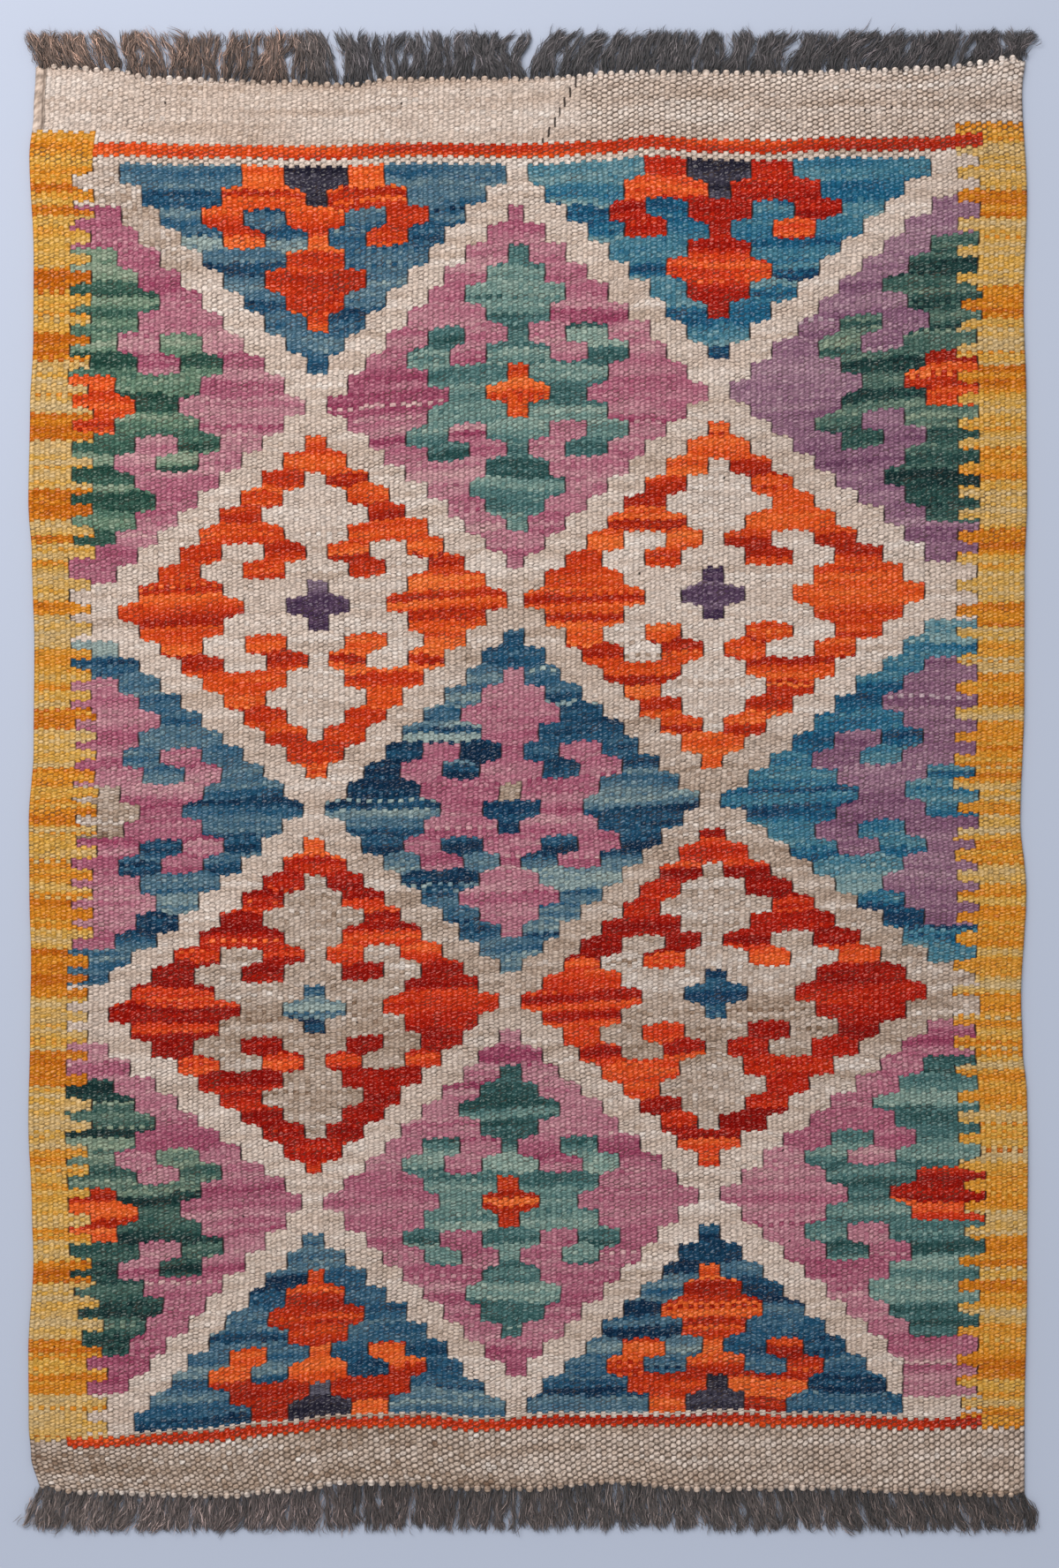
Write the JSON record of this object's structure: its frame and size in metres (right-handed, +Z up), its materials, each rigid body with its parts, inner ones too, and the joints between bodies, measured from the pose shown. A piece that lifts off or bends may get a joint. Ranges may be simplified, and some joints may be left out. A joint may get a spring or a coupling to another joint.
{
  "type": "kilim rug",
  "caption": "Flat-woven rectangular kilim rug with stepped and hooked diamonds, side borders and a warp fringe at both ends, lying flat.",
  "frame": {"origin": "on the floor under the middle of the rug's bounding box", "axes": "+X across the rug, to the right of the picture; +Y along the warps, to the top of the picture; +Z up, out of the face that shows"},
  "size_m": [0.6025, 0.9, 0.0039],
  "materials": {
    "wool_wefts": "matt hand-spun wool wefts in cream, oatmeal, orange-red, gold, teal, blue, mauve and charcoal",
    "far_warp_wool": "matt brown to charcoal undyed wool yarn",
    "near_warp_wool": "matt grey-brown undyed wool yarn"
  },
  "bodies": {
    "root": {"cloth": "wool_wefts", "fringe_far": "far_warp_wool", "fringe_near": "near_warp_wool"}
  },
  "joints": []
}
